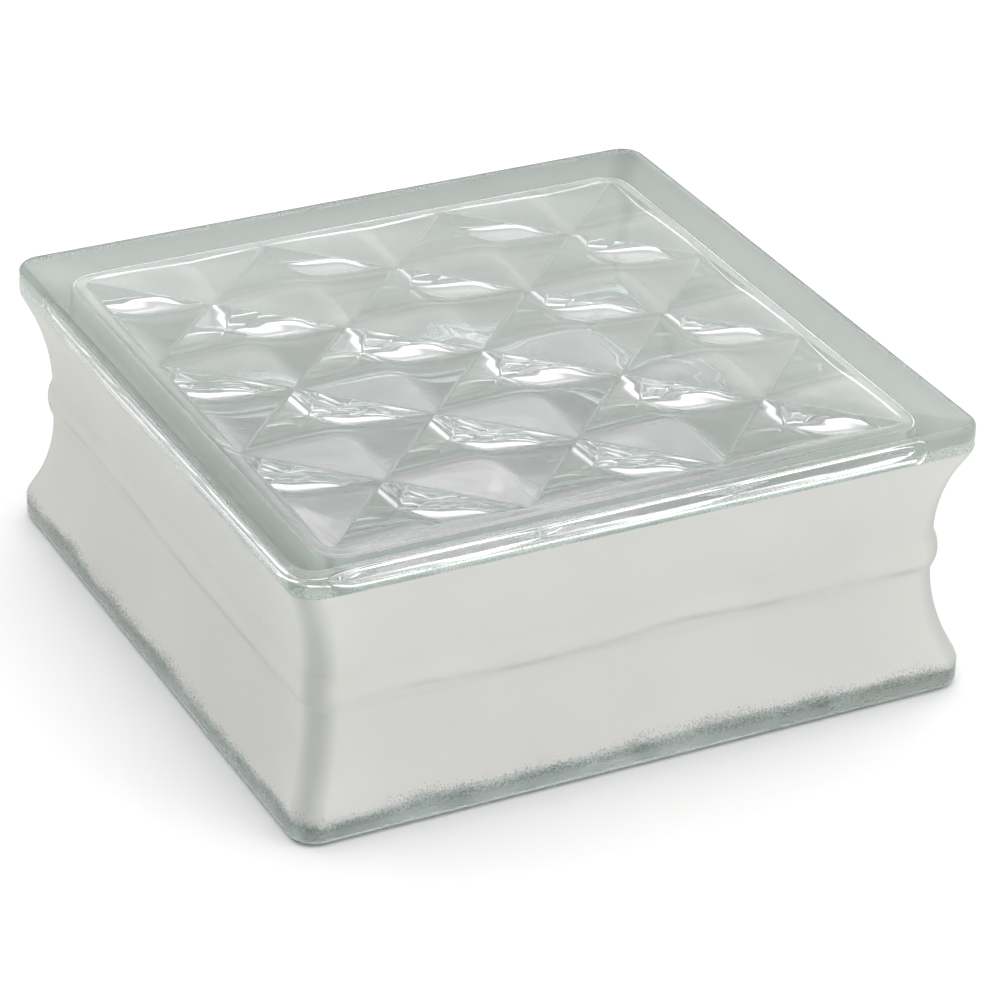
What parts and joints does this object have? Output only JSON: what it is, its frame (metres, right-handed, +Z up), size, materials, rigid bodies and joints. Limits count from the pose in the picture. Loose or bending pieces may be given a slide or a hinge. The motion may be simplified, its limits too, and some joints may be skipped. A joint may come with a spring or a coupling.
{
  "type": "glass block",
  "caption": "Hollow square glass block for mortared walls, star relief inside both faces, white-coated coved edges with a fused seam bead.",
  "frame": {"origin": "centre of the lower face, on the surface that the block lies on", "axes": "+Z up through both faces, +X and +Y square to the coved edges"},
  "size_m": [0.1968, 0.1968, 0.0794],
  "materials": {
    "glass": "polished, faint green-grey tint",
    "edge_coating": "satin sprayed film, warm white"
  },
  "bodies": {
    "root": {"upper_glass_half": "glass", "lower_glass_half": "glass", "edge_coating": "edge_coating"}
  },
  "joints": []
}
